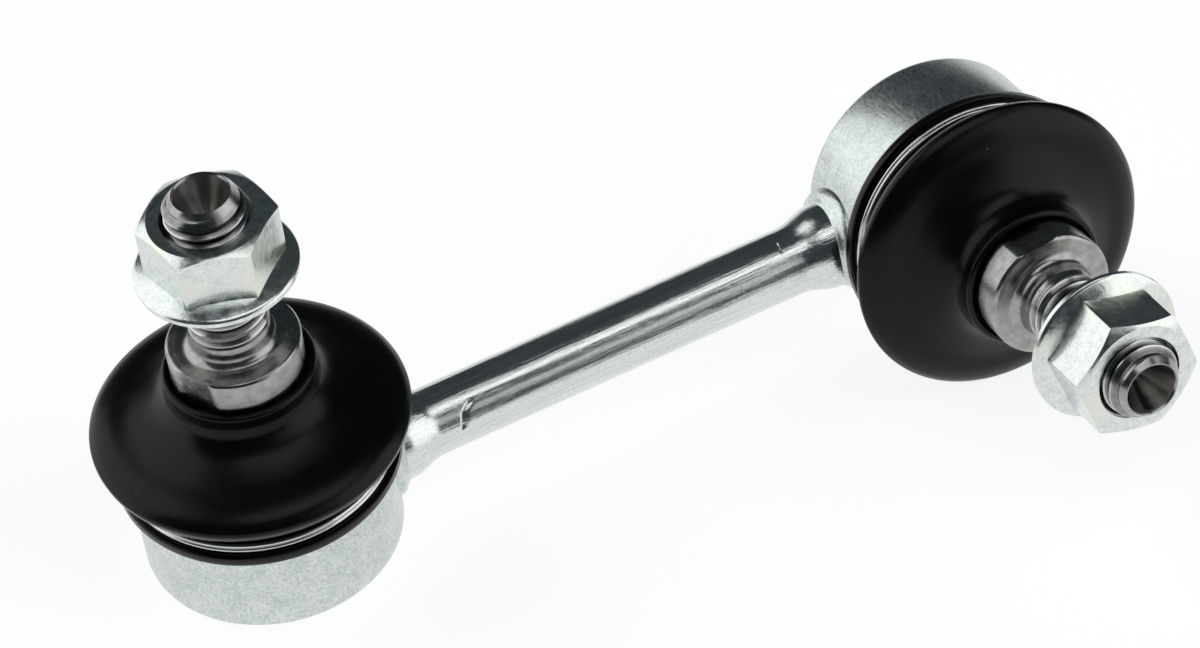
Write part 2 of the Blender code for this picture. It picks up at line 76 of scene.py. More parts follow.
class Signal:
    """One output of a material's nodes. A sum or product with a number or a signal adds a Math node."""

    def __init__(self, finish, socket):
        self.finish = finish
        self.socket = socket

    def math(self, operation, *terms):
        return self.finish.node("ShaderNodeMath", {"operation": operation}, dict(enumerate(terms)))

    def __add__(self, other):
        return self.math("ADD", self, other)

    def __sub__(self, other):
        return self.math("SUBTRACT", self, other)

    def __mul__(self, other):
        return self.math("MULTIPLY", self, other)


class Finish:
    """A procedural surface, laid out along the axes of the piece that wears it."""

    def __init__(self, name, place, constants):
        self.material = bpy.data.materials.new(name)
        self.material.use_nodes = True
        self.nodes = self.material.node_tree.nodes
        self.links = self.material.node_tree.links
        self.shader = self.nodes["Principled BSDF"]
        for label, value in constants.items():
            self.shader.inputs[label].default_value = value
        lie = place.inverted()
        objects = self.node("ShaderNodeTexCoord", {}, {}, "Object")
        self.point = self.node("ShaderNodeMapping", {}, {
            "Vector": objects, "Rotation": lie.to_euler(), "Location": lie.translation})

    def node(self, kind, settings, sockets, output=0):
        made = self.nodes.new(kind)
        for name, value in settings.items():
            setattr(made, name, value)
        for name, value in sockets.items():
            if isinstance(value, Signal):
                self.links.new(value.socket, made.inputs[name])
            else:
                made.inputs[name].default_value = value
        return Signal(self, made.outputs[output])

    def stretched(self, factors):
        return self.node("ShaderNodeVectorMath", {"operation": "MULTIPLY"}, {0: self.point, 1: factors})

    def noise(self, vector, scale, detail, roughness):
        return self.node("ShaderNodeTexNoise", {}, {
            "Vector": vector, "Scale": scale, "Detail": detail, "Roughness": roughness})

    def range(self, signal, low, high, start, end):
        return self.node("ShaderNodeMapRange", {"clamp": True}, {
            "Value": signal, "From Min": low, "From Max": high, "To Min": start, "To Max": end})

    def blend(self, factor, first, second):
        return self.node("ShaderNodeMix", {"data_type": "RGBA"}, {0: factor, 6: first, 7: second}, 2)

    def bump(self, height, depth):
        return self.node("ShaderNodeBump", {}, {"Strength": 1.0, "Distance": depth, "Height": height})

    def wear(self, **signals):
        for label, signal in signals.items():
            self.links.new(signal.socket, self.shader.inputs[label.replace("_", " ")])
        return self.material


def spun(points, steps, closed=False):
    """Turns an outline of (radius, height) points, in millimetres, about Z."""
    form = bmesh.new()
    line = [form.verts.new((radius * MM, 0.0, height * MM)) for radius, height in points]
    following = line[1:] + line[:1] if closed else line[1:]
    edges = [form.edges.new(pair) for pair in zip(line, following)]
    bmesh.ops.spin(form, geom=line + edges, cent=(0, 0, 0), axis=(0, 0, 1), dvec=(0, 0, 0),
                   angle=2 * pi, steps=steps, use_merge=True)
    bmesh.ops.remove_doubles(form, verts=form.verts, dist=0.002 * MM)
    bmesh.ops.recalc_face_normals(form, faces=form.faces)
    return form


def soften(form, rings, size, segments):
    """Rounds turned edges, each given by its radius and height in millimetres."""
    tolerance = 0.01 * MM

    def near(vert, radius, height):
        off = abs(hypot(vert.co.x, vert.co.y) - radius * MM) + abs(vert.co.z - height * MM)
        return off < tolerance

    edges = [edge for edge in form.edges for radius, height in rings
             if near(edge.verts[0], radius, height) and near(edge.verts[1], radius, height)]
    bmesh.ops.bevel(form, geom=edges, offset=size * MM, offset_type="OFFSET", affect="EDGES",
                    segments=segments, profile=0.5, material=-1)


def finished(form, name, place, material, crease=32.0):
    """Turns a form into an object at the origin, with its place in its mesh."""
    form.transform(place)
    mesh = bpy.data.meshes.new(name)
    form.to_mesh(mesh)
    form.free()
    mesh.shade_smooth()
    mesh.set_sharp_from_angle(angle=radians(crease))
    mesh.materials.append(material)
    piece = bpy.data.objects.new(name, mesh)
    bpy.context.scene.collection.objects.link(piece)
    return piece


def bright_zinc(name, place):
    """Bright plating over drawn bar: faint streaks along X, small ripples and a fine grain."""
    zinc = Finish(name, place, {"Metallic": 1.0, "IOR": 2.2})
    streaks = zinc.noise(zinc.stretched((90.0, 2600.0, 2600.0)), 1.0, 4.0, 0.6)
    ripple = zinc.noise(zinc.stretched((260.0, 620.0, 620.0)), 1.0, 2.0, 0.5)
    grain = zinc.noise(zinc.point, 3600.0, 2.0, 0.6)
    grey, pale = (0.57, 0.615, 0.60, 1), (0.75, 0.785, 0.76, 1)
    tint = zinc.blend(zinc.range(streaks + grain, 0.75, 1.25, 0.0, 1.0), grey, pale)
    bump = zinc.bump(streaks * 3.2 + ripple * 2.2 + grain * 0.9, 0.012 * MM)
    roughness = zinc.range(streaks + grain * 0.4, 0.45, 1.0, 0.14, 0.26)
    return zinc.wear(Base_Color=tint, Roughness=roughness, Normal=bump)


def build_rod():
    radius = 4.46
    gap_at_cup = 0.15
    foot_radius = 5.6
    foot_straight = 1.3
    foot_taper = 4.8
    taper_rings = 8
    marks_from = 24.6
    mark_rings = 54
    ring_gap = 0.08
    reach = half_span - CUP_RADIUS - gap_at_cup
    foot = reach - foot_straight
    outline = [(0.0, reach), (foot_radius, reach), (foot_radius, foot)]
    for k in range(1, taper_rings + 1):
        share = k / taper_rings
        rise = (1 - share) ** 2 * (1 + 2 * share)
        outline.append((radius + (foot_radius - radius) * rise, foot - foot_taper * share))
    outline += [(radius, marks_from - ring_gap * k) for k in range(mark_rings)]
    outline += [(r, -z) for r, z in reversed(outline)]
    form = spun(outline, 180)

    # A clamp bit a slanting step into the bar near its left end, and something nicked it near the right.
    # Each mark is a line of (degrees round the bar, height along it), its depth, and how wide it fades.
    bite = ((125.4, -21.07), (141.7, -22.6), (170.6, -23.3))
    nick = ((91.0, 24.0), (120.0, 23.8))
    fade_in = 5
    fade_out = 9
    for vert in form.verts:
        turn = degrees(atan2(-vert.co.x, vert.co.y))
        depth = 0.0
        for line, deepest, before, after in ((bite, 0.20, 0.11, 0.75), (nick, 0.07, 0.10, 0.10)):
            for (turn_a, along_a), (turn_b, along_b) in zip(line, line[1:]):
                share = (turn - turn_a) / (turn_b - turn_a)
                if 0 <= share < 1:
                    off = vert.co.z / MM - along_a - (along_b - along_a) * share
                    ends_in = min(1.0, (turn - line[0][0]) / fade_in, (line[-1][0] - turn) / fade_out)
                    depth += deepest * ends_in * exp(-(off / (before if off < 0 else after)) ** 2)
        if hypot(vert.co.x, vert.co.y) > radius / 2 * MM:
            vert.co.xy *= 1 - depth / radius
    turn_to_rod = Matrix.Rotation(pi / 2, 4, "Y")
    rod = finished(form, "rod", rod_place @ turn_to_rod, bright_zinc("rod_zinc", rod_place))
    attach(rod, "link")
    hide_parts("link_rod")


build_rod()

# Each housing is a cold-forged steel cup, bored from above and plated in dull zinc. The ball and its
# plastic shells go in from the top, and the rim is rolled in over a washer to hold them.


def dull_zinc(name, place):
    """Mottled plating, with fine streaks along the cup's axis and a few dark pits."""
    zinc = Finish(name, place, {"Metallic": 1.0, "IOR": 2.2})
    streaks = zinc.noise(zinc.stretched((2800.0, 2800.0, 600.0)), 1.0, 4.0, 0.62)
    mottle = zinc.noise(zinc.point, 420.0, 2.0, 0.6)
    speckle = zinc.noise(zinc.point, 2600.0, 3.0, 0.62)
    pits = zinc.node("ShaderNodeTexVoronoi", {}, {"Vector": zinc.point, "Scale": 120.0})
    pit = zinc.range(pits, 0.02, 0.035, 1.0, 0.0)
    shade = zinc.range(speckle + mottle * 0.35 + streaks * 0.3, 0.65, 1.0, 0.0, 1.0)
    grey, pale, pitted = (0.46, 0.515, 0.495, 1), (0.71, 0.76, 0.735, 1), (0.05, 0.05, 0.05, 1)
    tint = zinc.blend(pit, zinc.blend(shade, grey, pale), pitted)
    bump = zinc.bump(streaks + speckle * 0.8 + mottle * 0.5 - pit * 2.0, 0.022 * MM)
    roughness = zinc.range(streaks * 0.6 + speckle * 0.4, 0.3, 0.7, 0.22, 0.42)
    return zinc.wear(Base_Color=tint, Roughness=roughness, Normal=bump)


def build_cup(side):
    base = (CUP_RADIUS, -6.6)
    shoulder = (CUP_RADIUS, 6.3)
    rolled_rim = [(13.2, 14.33), (14.0, 13.5)]
    inside = [(0.0, -4.2), (11.1, -4.2), (11.1, 11.53), (12.3, 11.53), (12.3, 13.33), (10.8, 13.33),
              (10.8, 14.33)]
    boot_seat = [(14.0, 11.46), (14.9, 10.86), (14.9, 10.26), (14.0, 10.26), (14.0, 6.3)]
    form = spun([*inside, *rolled_rim, *boot_seat, shoulder, base, (0.0, -6.6)], 128)
    soften(form, [base], 1.1, 6)
    soften(form, [shoulder, *rolled_rim], 0.3, 2)
    cup = finished(form, side + "_cup", ends[side], dull_zinc(side + "_cup_zinc", ends[side]))
    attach(cup, "link")
    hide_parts(side + "_housing")


for side in SIDES:
    build_cup(side)

# The welds are low round lands of fused metal between each cup and the rod's foot, plated over with
# the rest. Each one is turned round the rod and then laid against the cup's side.


def build_weld(side):
    towards = 1 if side == "left" else -1
    land = [(6.95, 0.35), (6.6, 0.9), (6.1, 1.05), (5.75, 1.5)]
    form = spun([(5.0, -0.4), (6.95, -0.4), *land, (5.3, 1.7), (5.0, 1.7)], 96, closed=True)
    soften(form, land, 0.18, 2)
    for vert in form.verts:
        turned_to = Vector((vert.co.z * towards, vert.co.y, vert.co.x))
        turned_to.x += towards * sqrt((CUP_RADIUS * MM) ** 2 - turned_to.y ** 2)
        vert.co = turned_to
    bmesh.ops.recalc_face_normals(form, faces=form.faces)
    weld = finished(form, side + "_rod_weld", ends[side], dull_zinc(side + "_weld_zinc", ends[side]))
    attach(weld, "link")
    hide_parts(side + "_weld")


for side in SIDES:
    build_weld(side)

# Inside each cup two moulded plastic shells wrap the ball, and a stamped washer lies on the upper one.
# Nothing shows of them from outside, so they keep the solids' own shapes.


def moulded_plastic(name, place):
    plastic = Finish(name, place, {"IOR": 1.48})
    cloud = plastic.noise(plastic.point, 400.0, 2.0, 0.5)
    ivory, pale_ivory = (0.78, 0.77, 0.72, 1), (0.83, 0.82, 0.77, 1)
    tint = plastic.blend(cloud, ivory, pale_ivory)
    bump = plastic.bump(plastic.noise(plastic.point, 3000.0, 2.0, 0.5), 0.01 * MM)
    return plastic.wear(Base_Color=tint, Roughness=plastic.range(cloud, 0.3, 0.7, 0.36, 0.46), Normal=bump)


def turned_steel(name, place):
    """Bare oiled steel with turning marks round the stud's axis and a mild mottle. On a stud the thread's
    crests are pale as rubbed metal and as a painted highlight, its roots are darkened with painted shade,
    and the recess in the end is painted dark as shade, broken by lighter streaks round the axis."""
    steel = Finish(name, place, {"Metallic": 1.0, "IOR": 2.4})
    flat = steel.stretched((1.0, 1.0, 0.0))
    away = steel.node("ShaderNodeVectorMath", {"operation": "LENGTH"}, {0: flat}, "Value")
    height = steel.node("ShaderNodeSeparateXYZ", {}, {"Vector": steel.point}, "Z")
    lathe = steel.node("ShaderNodeCombineXYZ", {}, {"X": away, "Y": height})
    marks = steel.noise(lathe, 6500.0, 3.0, 0.7)
    mottle = steel.noise(steel.point, 700.0, 3.0, 0.6)
    pits = steel.node("ShaderNodeTexVoronoi", {}, {"Vector": steel.point, "Scale": 210.0})
    pit = steel.range(pits, 0.02, 0.04, 1.0, 0.0)
    around = steel.node("ShaderNodeVectorMath", {"operation": "NORMALIZE"}, {0: flat})
    drilled = steel.noise(around, 1.3, 1.0, 0.5)
    streaks = steel.range(drilled + mottle * 0.2, 0.45, 0.72, 0.0, 1.0)
    # Painted shade: the recess in the blunt end is darkened below its rim, broken by lighter streaks round
    # the axis.
    below_rim = steel.range(height, 51.8 * MM, 52.35 * MM, 1.0, 0.0)
    inside = steel.range(away, 3.3 * MM, 3.6 * MM, 1.0, 0.0) * below_rim
    above_run_out = steel.range(height, 30.5 * MM, 32.5 * MM, 0.0, 1.0)
    below_blunt_end = steel.range(height, 50.2 * MM, 51.6 * MM, 1.0, 0.0)
    # Painted highlight, partly rubbed metal: the thread's crests are turned pale so that they glint bright.
    crests = steel.range(away, 4.78 * MM, 4.96 * MM, 0.0, 0.75) * above_run_out
    # Painted shade: the thread's roots are darkened, where shade falls between the turns.
    roots = steel.range(away, 4.4 * MM, 4.88 * MM, 0.95, 0.0) * (above_run_out * below_blunt_end)
    dark, plain, pitted = (0.23, 0.235, 0.23, 1), (0.41, 0.41, 0.395, 1), (0.03, 0.03, 0.03, 1)
    # The pale colour is for the crests, as rubbed metal and painted highlight; the near-black one is painted
    # shade in the thread's roots.
    rubbed_and_painted_glint, painted_root_shade = (0.72, 0.72, 0.71, 1), (0.03, 0.03, 0.028, 1)
    # The near-black colour is painted shade in the recess; the grey one shows in its streaks.
    painted_recess_shade, scraped = (0.035, 0.033, 0.03, 1), (0.42, 0.41, 0.39, 1)
    tint = steel.blend(steel.range(mottle + marks * 0.5, 0.5, 1.0, 0.0, 1.0), dark, plain)
    tint = steel.blend(pit, tint, pitted)
    # Painted highlight, partly rubbed metal, on the crests.
    tint = steel.blend(crests, tint, rubbed_and_painted_glint)
    # Painted shade in the thread's roots.
    tint = steel.blend(roots, tint, painted_root_shade)
    # Painted shade in the recess, with lighter streaks.
    tint = steel.blend(inside, tint, steel.blend(streaks, painted_recess_shade, scraped))
    bump = steel.bump(marks * 0.8 + mottle * 0.8 - pit * 1.5, 0.014 * MM)
    roughness = steel.range(marks * 0.5 + mottle * 0.5 + inside * 0.4, 0.3, 0.9, 0.14, 0.38)
    return steel.wear(Base_Color=tint, Roughness=roughness, Normal=bump)


for side in SIDES:
    plastic = moulded_plastic(side + "_shell_plastic", ends[side])
    steel = turned_steel(side + "_inner_steel", ends[side])
    for node, material in (("_lower_shell", plastic), ("_upper_shell", plastic),
                           ("_retaining_washer", steel), ("_boot_neck_ring", steel)):
        inner = frame["nodes"][side + node]
        inner.data.materials.clear()
        inner.data.materials.append(material)

# The ball studs are turned from bar: ball, neck, boot seat, a collar with two milled wrench flats, and
# a rolled thread, 10 mm over its crests and 1.5 mm a turn, that runs out in a fillet. The blunt end
# has a conical recess.
COLLAR_FACE = 28.1
THREAD_RADIUS = 5.0


def combined(first, operation, second, name):
    """The solid left by a Boolean of two forms, as a form."""
    pair = []
    for form in (first, second):
        mesh = bpy.data.meshes.new(name)
        form.to_mesh(mesh)
        form.free()
        pair.append(bpy.data.objects.new(name, mesh))
        bpy.context.scene.collection.objects.link(pair[-1])
    change = pair[0].modifiers.new("change", "BOOLEAN")
    change.operation = operation
    change.solver = "EXACT"
    change.object = pair[1]
    result = bmesh.new()
    result.from_object(pair[0], bpy.context.evaluated_depsgraph_get())
    for spent in pair:
        mesh = spent.data
        bpy.data.objects.remove(spent)
        bpy.data.meshes.remove(mesh)
    return result


def grown(form, height, outline):
    """Carries the open end at a height, in millimetres, on through rings of (radius, height), and
    closes it."""
    rim = [edge for edge in form.edges
           if edge.is_boundary and all(abs(vert.co.z - height * MM) < 0.02 * MM for vert in edge.verts)]
    radius = hypot(*rim[0].verts[0].co.xy) / MM
    for new_radius, new_height in outline:
        made = bmesh.ops.extrude_edge_only(form, edges=rim)["geom"]
        ring = [item for item in made if isinstance(item, bmesh.types.BMVert)]
        rim = [item for item in made if isinstance(item, bmesh.types.BMEdge)]
        scale = new_radius / radius
        bmesh.ops.scale(form, vec=(scale, scale, 1.0), verts=ring)
        bmesh.ops.translate(form, vec=(0.0, 0.0, (new_height - height) * MM), verts=ring)
        radius = new_radius
        height = new_height
    bmesh.ops.edgeloop_fill(form, edges=rim)


def threaded_shank(low, high):
    """A rolled thread between two heights: it runs out below and tapers to a blunt end above."""
    crest = THREAD_RADIUS
    root = 4.12
    pitch = 1.5
    run_out_length = 5.5
    blunt_end = 3.62
    blunt_slope = 0.72
    steps = 72
    form = bmesh.new()
    tooth = [(root + 0.04, 0.0), (root, 0.18), (root + 0.04, 0.36), (crest - 0.07, 0.80), (crest, 0.88),
             (crest, 1.01), (crest - 0.07, 1.08), (root + 0.04, pitch)]
    line = [form.verts.new((radius * MM, 0.0, (low - pitch * 2 + rise) * MM)) for radius, rise in tooth]
    edges = [form.edges.new(pair) for pair in zip(line, line[1:])]
    bmesh.ops.spin(form, geom=line + edges, cent=(0, 0, 0), axis=(0, 0, 1), angle=2 * pi, steps=steps,
                   dvec=(0, 0, pitch * MM / steps))
    one_turn = form.verts[:] + form.edges[:] + form.faces[:]
    for turns in range(1, int((high - low) / pitch) + 4):
        copied = bmesh.ops.duplicate(form, geom=one_turn)["geom"]
        bmesh.ops.translate(form, vec=(0, 0, turns * pitch * MM),
                            verts=[item for item in copied if isinstance(item, bmesh.types.BMVert)])
    bmesh.ops.remove_doubles(form, verts=form.verts, dist=0.004 * MM)
    for height, way in ((low, -1), (high, 1)):
        bmesh.ops.bisect_plane(form, geom=form.verts[:] + form.edges[:] + form.faces[:], dist=0.0001 * MM,
                               plane_co=(0, 0, height * MM), plane_no=(0, 0, way), clear_outer=True)
    for vert in form.verts:
        away = hypot(vert.co.x, vert.co.y) / MM
        height = vert.co.z / MM
        run_out = min(max((height - low) / run_out_length, 0.0), 1.0)
        run_out *= run_out * (3 - 2 * run_out)
        wanted = min(crest - (crest - away) * run_out, blunt_end + blunt_slope * (high - height))
        vert.co.x *= wanted / away
        vert.co.y *= wanted / away
    return form


def build_stud(side):
    face = COLLAR_FACE
    underside = 22.3
    tip = 52.4
    fillet = 1.4
    fillet_rings = 6
    form = threaded_shank(face + fillet, tip)
    grown(form, tip, [(3.58, tip + 0.05), (3.46, tip + 0.05), (3.38, tip - 0.04), (3.22, tip - 0.4),
                      (2.7, tip - 1.9), (1.9, tip - 3.5), (0.9, tip - 4.6), (0.15, tip - 5.0)])
    root = [(THREAD_RADIUS + fillet * (1 - cos(a)), face + fillet * (1 - sin(a)))
            for a in (pi / 2 * k / fillet_rings for k in range(1, fillet_rings + 1))]
    ball_radius = 9.0
    ball_rings = 30
    neck_radius = 5.0
    neck_angle = asin(neck_radius / ball_radius)
    ball = [(ball_radius * sin(a), BALL_ABOVE_ROD + ball_radius * cos(a))
            for a in (neck_angle + (pi - neck_angle) * k / ball_rings for k in range(ball_rings))]
    collar = [(7.85, face), (8.02, face - 0.06), (8.24, face - 0.28), (8.3, face - 0.45),
              (8.3, underside + 0.2), (8.1, underside), (6.5, underside), (6.5, 18.9), (neck_radius, 17.4)]
    ball_foot = (0.3, -2.09)
    grown(form, face + fillet, [*root, *collar, *ball, ball_foot])
    bmesh.ops.recalc_face_normals(form, faces=form.faces)
    flat_from_axis = 7.75
    over_face = 1.0
    deep, wide, high = 8.0, 20.0, 7.1
    flats = bmesh.new()
    turned_to = {"left": radians(27.9), "right": radians(94.8)}[side]
    for way in (0.0, pi):
        bmesh.ops.create_cube(flats, size=1.0, matrix=(
            Matrix.Rotation(turned_to + way, 4, "Z")
            @ Matrix.Translation(((flat_from_axis + deep / 2) * MM, 0, (face + over_face - high / 2) * MM))
            @ Matrix.Diagonal((deep * MM, wide * MM, high * MM, 1.0))))
    form = combined(form, "DIFFERENCE", flats, side + "_stud_form")
    stud = finished(form, side + "_stud", ends[side], turned_steel(side + "_stud_steel", ends[side]))
    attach(stud, side + "_stud")
    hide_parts(side + "_ball_stud")


for side in SIDES:
    build_stud(side)

# The dust boots are moulded in black rubber: a bead and a clip groove that grip the cup, an undercut up
# to a sharp parting edge, then a dome that falls to a lipped neck under the stud's collar.


def flowing(stations, spans):
    """Points on a smooth curve through the stations."""
    padded = [stations[0], *stations, stations[-1]]
    points = []
    for k in range(1, len(padded) - 2):
        before, here, there, after = (Vector(p) for p in padded[k - 1:k + 3])
        for step in range(spans):
            t = step / spans
            point = here * 2 + (there - before) * t
            point += (before * 2 - here * 5 + there * 4 - after) * t ** 2
            point += (here * 3 - before - there * 3 + after) * t ** 3
            points.append(tuple(point / 2))
    points.append(tuple(stations[-1]))
    return points


def black_rubber(name, place):
    """Satin moulded rubber with a soft uneven sheen and a scatter of dust."""
    rubber = Finish(name, place, {"IOR": 1.27})
    cloud = rubber.noise(rubber.point, 220.0, 3.0, 0.6)
    grain = rubber.noise(rubber.point, 4200.0, 2.0, 0.6)
    cells = {"Vector": rubber.point, "Scale": 300.0}
    dust = rubber.node("ShaderNodeTexVoronoi", {}, cells)
    cell_hue = rubber.node("ShaderNodeTexVoronoi", {}, cells, "Color")
    chosen = rubber.node("ShaderNodeSeparateColor", {}, {"Color": cell_hue})
    speck = rubber.range(dust, 0.02, 0.04, 1.0, 0.0) * rubber.range(chosen, 0.70, 0.72, 0.0, 1.0)
    black, worn, dusty = (0.0015, 0.0015, 0.0017, 1), (0.0028, 0.0028, 0.0031, 1), (0.30, 0.31, 0.30, 1)
    tint = rubber.blend(speck, rubber.blend(cloud, black, worn), dusty)
    roughness = rubber.range(cloud + grain * 0.3, 0.4, 0.9, 0.21, 0.32)
    bump = rubber.bump(grain + cloud * 2.0 + speck * 1.5, 0.008 * MM)
    return rubber.wear(Base_Color=tint, Roughness=roughness, Normal=bump)


def build_boot(side):
    skirt_foot = 11.2
    skirt_top = 15.9
    neck_top = 20.3
    lip = [(8.62, 23.45), (8.8, 23.68), (9.1, 23.7), (9.4, 23.5)]
    dome = flowing([(9.52, 23.2), (9.33, 22.4), (9.34, 21.4), (9.85, 20.0), (11.43, 18.5), (14.42, 17.1),
                    (17.2, 16.35), (18.85, 15.55), (19.7, 14.7), (19.88, 14.24)], 14)
    undercut = [(19.82, 13.95), (19.68, 13.45), (19.38, 12.95), (18.85, 12.4), (18.0, 11.7),
                (17.2, 11.05), (16.6, 10.5), (16.25, 10.15)]
    clip_groove = [(16.2, 9.96), (16.2, 8.0), (17.5, 8.0)]
    bead = [(17.75, 7.8), (17.8, 6.95), (17.55, 6.5), (14.3, 6.42), (14.3, 9.96)]
    inside = [(15.2, 9.96), (15.2, 10.9), (16.9, 12.3), (18.1, 13.7), (17.9, 14.6), (16.2, 15.5),
              (13.4, 16.45), (10.9, 17.85), (9.5, 18.75), (8.9, 19.0)]
    neck_bore = [(7.5, 19.0), (7.5, 19.6), (8.6, 19.6), (8.6, 22.0)]
    outline = [*lip, *dome, *undercut, *clip_groove, *bead, *inside, *neck_bore]
    rubber = black_rubber(side + "_rubber", ends[side])
    for part, way, bodies, start, end in (
            ("_boot_skirt", 1, ("link", side + "_boot"), skirt_foot, skirt_top),
            ("_boot_neck", -1, (side + "_boot", side + "_neck"), skirt_top, neck_top)):
        form = spun(outline, 128, closed=True)
        whole = form.verts[:] + form.edges[:] + form.faces[:]
        cut = bmesh.ops.bisect_plane(form, geom=whole, dist=0.0001 * MM, plane_co=(0, 0, skirt_top * MM),
                                     plane_no=(0, 0, way), clear_outer=True)
        rims = [item for item in cut["geom_cut"] if isinstance(item, bmesh.types.BMEdge)]
        bmesh.ops.bridge_loops(form, edges=rims)
        bmesh.ops.recalc_face_normals(form, faces=form.faces)
        piece = finished(form, side + part, ends[side], rubber, 40.0)
        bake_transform(piece)
        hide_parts(side + "_dust_boot")


for side in SIDES:
    build_boot(side)

# A clip of bright spring wire holds each boot in the cup's groove: two flat turns side by side, joined
# by one slanting crossing, sprung on over the rubber.


def spring_wire(name, place):
    wire = Finish(name, place, {"Metallic": 1.0, "IOR": 2.4})
    drawn = wire.noise(wire.stretched((300.0, 300.0, 9000.0)), 1.0, 2.0, 0.5)
    grey, pale = (0.50, 0.51, 0.51, 1), (0.66, 0.67, 0.67, 1)
    roughness = wire.range(drawn, 0.3, 0.7, 0.12, 0.22)
    bump = wire.bump(drawn, 0.006 * MM)
    return wire.wear(Base_Color=wire.blend(drawn, grey, pale), Roughness=roughness, Normal=bump)


def build_clip(side):
    wire_radius = 0.33
    coil_radius = 16.75
    lower_turn = 8.5
    rise = 0.68
    crossing = radians(60.0)
    flat = 2 * pi - crossing
    start = {"left": radians(75.0), "right": radians(-61.0)}[side] + crossing / 2
    form = bmesh.new()
    section = Matrix.Translation((coil_radius * MM, 0, lower_turn * MM)) @ Matrix.Rotation(pi / 2, 4, "X")
    geom = bmesh.ops.create_circle(form, segments=14, radius=wire_radius * MM, matrix=section)["verts"]
    geom = geom + form.edges[:]
    first = [item for item in geom if isinstance(item, bmesh.types.BMEdge)]
    for angle, climb, steps in ((flat, 0.0, 120), (crossing, rise, 24), (flat, 0.0, 120)):
        geom = bmesh.ops.spin(form, geom=geom, cent=(0, 0, 0), axis=(0, 0, 1), angle=angle, steps=steps,
                              dvec=(0, 0, climb * MM / steps))["geom_last"]
    last = [item for item in geom if isinstance(item, bmesh.types.BMEdge)]
    for end in (first, last):
        bmesh.ops.edgeloop_fill(form, edges=end)
    bmesh.ops.recalc_face_normals(form, faces=form.faces)
    clip = finished(form, side + "_wire_clip", ends[side] @ Matrix.Rotation(start, 4, "Z"),
                    spring_wire(side + "_clip_wire", ends[side]))
    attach(clip, "link")
    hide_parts(side + "_boot_clip")


for side in SIDES:
    build_clip(side)

# The flange nuts are cold-formed and plated in bright zinc. Each is a 15 mm hexagon with a chamfered
# crown on a sloping flange, run part of the way down the thread, as the link is delivered.


def nut_zinc(name, place):
    zinc = Finish(name, place, {"Metallic": 1.0, "IOR": 2.2})
    mottle = zinc.noise(zinc.point, 900.0, 3.0, 0.6)
    grain = zinc.noise(zinc.point, 3400.0, 2.0, 0.6)
    hue = zinc.noise(zinc.point, 150.0, 1.0, 0.5)
    pits = zinc.node("ShaderNodeTexVoronoi", {}, {"Vector": zinc.point, "Scale": 420.0})
    pit = zinc.range(pits, 0.03, 0.06, 1.0, 0.0)
    grey, pale = (0.56, 0.61, 0.60, 1), (0.75, 0.79, 0.78, 1)
    warm, pitted = (0.72, 0.73, 0.64, 1), (0.12, 0.12, 0.12, 1)
    tint = zinc.blend(zinc.range(mottle + grain * 0.8, 0.7, 1.1, 0.0, 1.0), grey, pale)
    tint = zinc.blend(zinc.range(hue, 0.45, 0.65, 0.0, 0.7), tint, warm)
    tint = zinc.blend(pit * 0.6, tint, pitted)
    bump = zinc.bump(mottle * 1.2 + grain * 0.5 - pit, 0.014 * MM)
    return zinc.wear(Base_Color=tint, Roughness=zinc.range(mottle, 0.3, 0.7, 0.14, 0.26), Normal=bump)


def build_nut(side):
    across_flats = 15.0
    height = 9.0
    hexagon_foot = 0.5
    flange_radius = 10.0
    flange_rim = 1.0
    thread_bore = 5.1
    corner = across_flats / 2 / cos(pi / 6)
    turned_to = {"left": radians(-18.2), "right": radians(45.5)}[side]
    foot = COLLAR_FACE + {"left": 11.7, "right": 12.3}[side]
    form = bmesh.new()
    bmesh.ops.create_cone(form, cap_ends=True, segments=6, radius1=corner * MM, radius2=corner * MM,
                          depth=(height - hexagon_foot) * MM,
                          matrix=Matrix.Translation((0, 0, (height + hexagon_foot) / 2 * MM))
                          @ Matrix.Rotation(turned_to + pi / 6, 4, "Z"))
    upright = [edge for edge in form.edges if abs(edge.verts[0].co.z - edge.verts[1].co.z) > MM]
    bmesh.ops.bevel(form, geom=upright, offset=0.28 * MM, offset_type="OFFSET", affect="EDGES", segments=3,
                    profile=0.5, material=-1)
    crown_radius = across_flats / 2 * 0.97
    drop = (flange_radius - crown_radius) * tan(radians(30.0))
    crown = spun([(0, height), (crown_radius - 0.15, height), (crown_radius, height - 0.06),
                  (flange_radius, height - drop), (flange_radius, -1), (0, -1)], 128)
    form = combined(form, "INTERSECT", crown, "crown_form")
    slope = tan(radians(18.0))
    flange = spun([(0, flange_rim + 3.5 * slope), (flange_radius - 3.5, flange_rim + 3.5 * slope),
                   (flange_radius - 0.4, flange_rim + 0.4 * slope), (flange_radius - 0.15, 0.98),
                   (flange_radius, 0.8), (flange_radius, 0.22), (flange_radius - 0.15, 0.05),
                   (flange_radius - 0.3, 0), (0, 0)], 128)
    form = combined(form, "UNION", flange, "flange_form")
    bore = spun([(0, height + 1), (6.6, height + 1), (5.6, height), (thread_bore, height - 0.5),
                 (thread_bore, 1.8), (7.4, -0.5), (0, -0.5)], 128)
    form = combined(form, "DIFFERENCE", bore, "bore_form")
    place = ends[side] @ Matrix.Translation((0, 0, foot * MM))
    nut = finished(form, side + "_nut_piece", place, nut_zinc(side + "_nut_zinc", place), 20.0)
    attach(nut, side + "_nut")
    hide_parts(side + "_flange_nut")


for side in SIDES:
    build_nut(side)

# The studio: a white table, soft boxes overhead, in front and at two sides, and dark surroundings that
# the bright metal shows as its dark bands.


